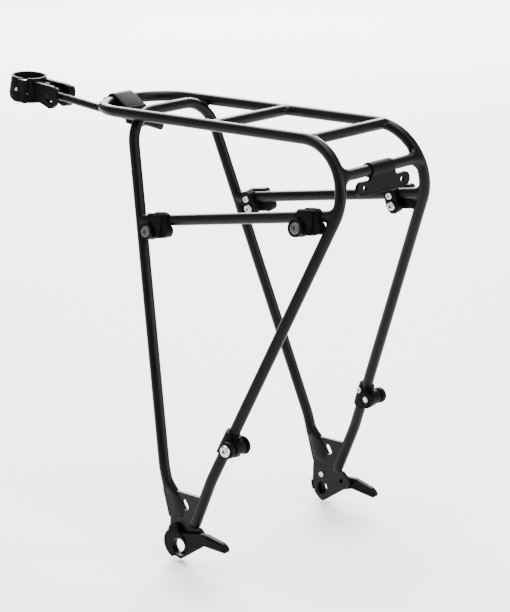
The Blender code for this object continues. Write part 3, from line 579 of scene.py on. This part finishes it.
# bracket lip: a raised edge along the foot of the lamp tab, a shallow parabola rising to its ends
lip = {"radius": 0.95, "inset": 4.0, "forward": 2.0, "above": 0.9, "rise": 0.9, "halfSpan": 31.0,
       "rows": 31, "sides": 14}
bracketLow, bracketHigh = (np.array(corner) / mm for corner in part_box("light_bracket"))
across = np.linspace(bracketLow[1] + lip["inset"], bracketHigh[1] - lip["inset"], lip["rows"])
fromMiddle = (across - (bracketLow[1] + bracketHigh[1]) / 2) / lip["halfSpan"]
lipLine = np.stack([0 * across + bracketLow[0] + lip["forward"], across,
                    bracketLow[2] + lip["above"] + lip["rise"] * fromMiddle ** 2], 1)
lipShape = ringsAlong(lipLine, lip["radius"], lip["sides"])
place("bracketLip", gridMesh("bracketLip", [(lipShape, True, False, True)]), "black_nylon", "rack")

# jaw screw: a low dome, half an ellipsoid, on the front jaw's outside
jawScrew = {"spot": (285.7, 18.3, 373.2), "out": (-0.12, 0.99, 0.05), "radius": 1.6966,
            "height": 1.19, "columns": 24, "rows": 8}
angle = fullTurn(jawScrew["columns"])[None, :, None]
rise = np.linspace(0, np.pi / 2, jawScrew["rows"])[:, None, None]
domeOut = unit(np.array(jawScrew["out"]))
domeSide = unit(np.cross(domeOut, (0, 0, 1.0)))
domeUp = np.cross(domeSide, domeOut)
dome = (np.array(jawScrew["spot"]) + jawScrew["height"] * np.sin(rise) * domeOut
        + jawScrew["radius"] * np.cos(rise) * (np.cos(angle) * domeSide + np.sin(angle) * domeUp))
place("jawScrewDome", gridMesh("jawScrewDome", [(dome, True, False, True)]), "zinc_steel", "front_jaw")
print("strap and small details ready")


# every other node is shown as its own shape, with its flats merged and its edges rounded
# each width goes with the first name that is found in the node's name
rounding = {"seat_clamp": 0.5, "rail_clamp": 0.45, "strut_clamp": 0.6, "latch": 0.45, "stud": 0.35,
            "rail_cap": 0.5, "light": 0.4, "dropout": 0.5, "pin": 0.2, "strut_rod": 0.3}
shaping = {"merge": 1e-6, "flat": 1.0, "edge": 34.0, "segments": 3, "width": 0.3}


def refined(node):
    work = bmesh.new()
    work.from_mesh(frame["nodes"][node].data)
    bmesh.ops.remove_doubles(work, verts=work.verts, dist=shaping["merge"])
    bmesh.ops.dissolve_limit(work, angle_limit=np.radians(shaping["flat"]),
                             verts=work.verts, edges=work.edges)
    mesh = bpy.data.meshes.new(node)
    work.to_mesh(mesh)
    work.free()
    mesh.shade_smooth()
    piece = place(node + "_shaped", mesh, slotOf[node], bodyOf[node], node)
    edges = piece.modifiers.new("roundedEdges", "BEVEL")
    edges.width = next((size for key, size in rounding.items() if key in node), shaping["width"]) * mm
    edges.segments = shaping["segments"]
    edges.limit_method = "ANGLE"
    edges.angle_limit = np.radians(shaping["edge"])
    edges.harden_normals = False
    edges.use_clamp_overlap = True
    normals = piece.modifiers.new("evenNormals", "WEIGHTED_NORMAL")
    normals.keep_sharp = False


shown = [node for node in frame["nodes"] if not frame["nodes"][node].hide_render]
for node in sorted(shown):
    refined(node)
print("shaped nodes ready:", len(shown))


# studio: a white floor, an even sky and soft lamps, each with its place, its size and its watts
studio = {"floorHalf": 14.0, "floorDrop": 0.0015, "floorLow": (0.86, 0.86, 0.86),
          "floorHigh": (0.88, 0.88, 0.88), "floorRough": 0.6, "floorRoughMore": 0.1,
          "floorNoise": 3.0, "floorSpecular": 0.2, "sky": 0.38}
lamps = {"topSoftbox": ((0.1, 0.1, 1.9), (1.2, 0.9), 62.0),
         "sweepSoftbox": ((2.6, -2.9, 2.6), (3.4, 3.4), 900.0),
         "keySoftbox": ((-1.5, 0.4, 1.2), (0.9, 1.4), 22.0),
         "stripSoftbox": ((-1.9, -0.8, 0.55), (0.45, 1.8), 52.0),
         "fillSoftbox": ((0.9, 1.7, 0.9), (1.2, 1.2), 12.0)}


def paleSurface(coords):
    # a white sweep: colour varies by two parts in a hundred with slow noise
    # roughness: 0.6 + 0.1 x noise
    tone = coords.noise(studio["floorNoise"], detail=2.0)
    return {"Base Color": tone.blend(studio["floorLow"], studio["floorHigh"]),
            "Roughness": studio["floorRough"] + tone * studio["floorRoughMore"]}


floorMesh = bpy.data.meshes.new("floor")
reach, level = studio["floorHalf"], cadBox[0][2] - studio["floorDrop"]
floorMesh.from_pydata([(-reach, -reach, level), (reach, -reach, level), (reach, reach, level),
                       (-reach, reach, level)], [], [(0, 1, 2, 3)])
paleFloor = newFinish("paleFloor", {"Specular IOR Level": studio["floorSpecular"]}, paleSurface)
floorMesh.materials.append(paleFloor)
floor = bpy.data.objects.new("floor", floorMesh)
bpy.context.scene.collection.objects.link(floor)

world = bpy.data.worlds.new("studio")
world.use_nodes = True
sky = world.node_tree.nodes["Background"]
sky.inputs["Color"].default_value = (1.0, 1.0, 1.0, 1.0)
sky.inputs["Strength"].default_value = studio["sky"]
bpy.context.scene.world = world

rackMiddle = (Vector(cadBox[0]) + Vector(cadBox[1])) / 2
for name, (spot, size, power) in lamps.items():
    lamp = bpy.data.lights.new(name, "AREA")
    lamp.shape = "RECTANGLE"
    lamp.size, lamp.size_y = size
    lamp.energy = power
    holder = bpy.data.objects.new(name, lamp)
    holder.location = spot
    holder.rotation_euler = (rackMiddle - Vector(spot)).to_track_quat("-Z", "Y").to_euler()
    bpy.context.scene.collection.objects.link(holder)

# camera: a spot in metres, the direction it looks in as degrees of yaw, pitch and roll, and its lens
viewpoint = {"spot": (-1.2990, 1.3933, 0.7067), "yaw": -47.15, "pitch": -14.95, "roll": -1.33,
             "lens": 127.4, "sensor": 36.0}
yaw, pitch, roll = (np.radians(viewpoint[key]) for key in ("yaw", "pitch", "roll"))
ahead = Vector((np.cos(yaw) * np.cos(pitch), np.sin(yaw) * np.cos(pitch), np.sin(pitch)))
right = Vector((np.sin(yaw), -np.cos(yaw), 0.0))
above = right.cross(ahead)
tilted = right * np.cos(roll) + above * np.sin(roll)
raised = above * np.cos(roll) - right * np.sin(roll)
lens = bpy.data.cameras.new("camera")
lens.sensor_width = viewpoint["sensor"]
lens.lens = viewpoint["lens"]
camera = bpy.data.objects.new("camera", lens)
turn = Matrix((tilted, raised, -ahead)).transposed().to_4x4()
camera.matrix_world = Matrix.Translation(Vector(viewpoint["spot"])) @ turn
bpy.context.scene.collection.objects.link(camera)
bpy.context.scene.camera = camera
print("studio ready")
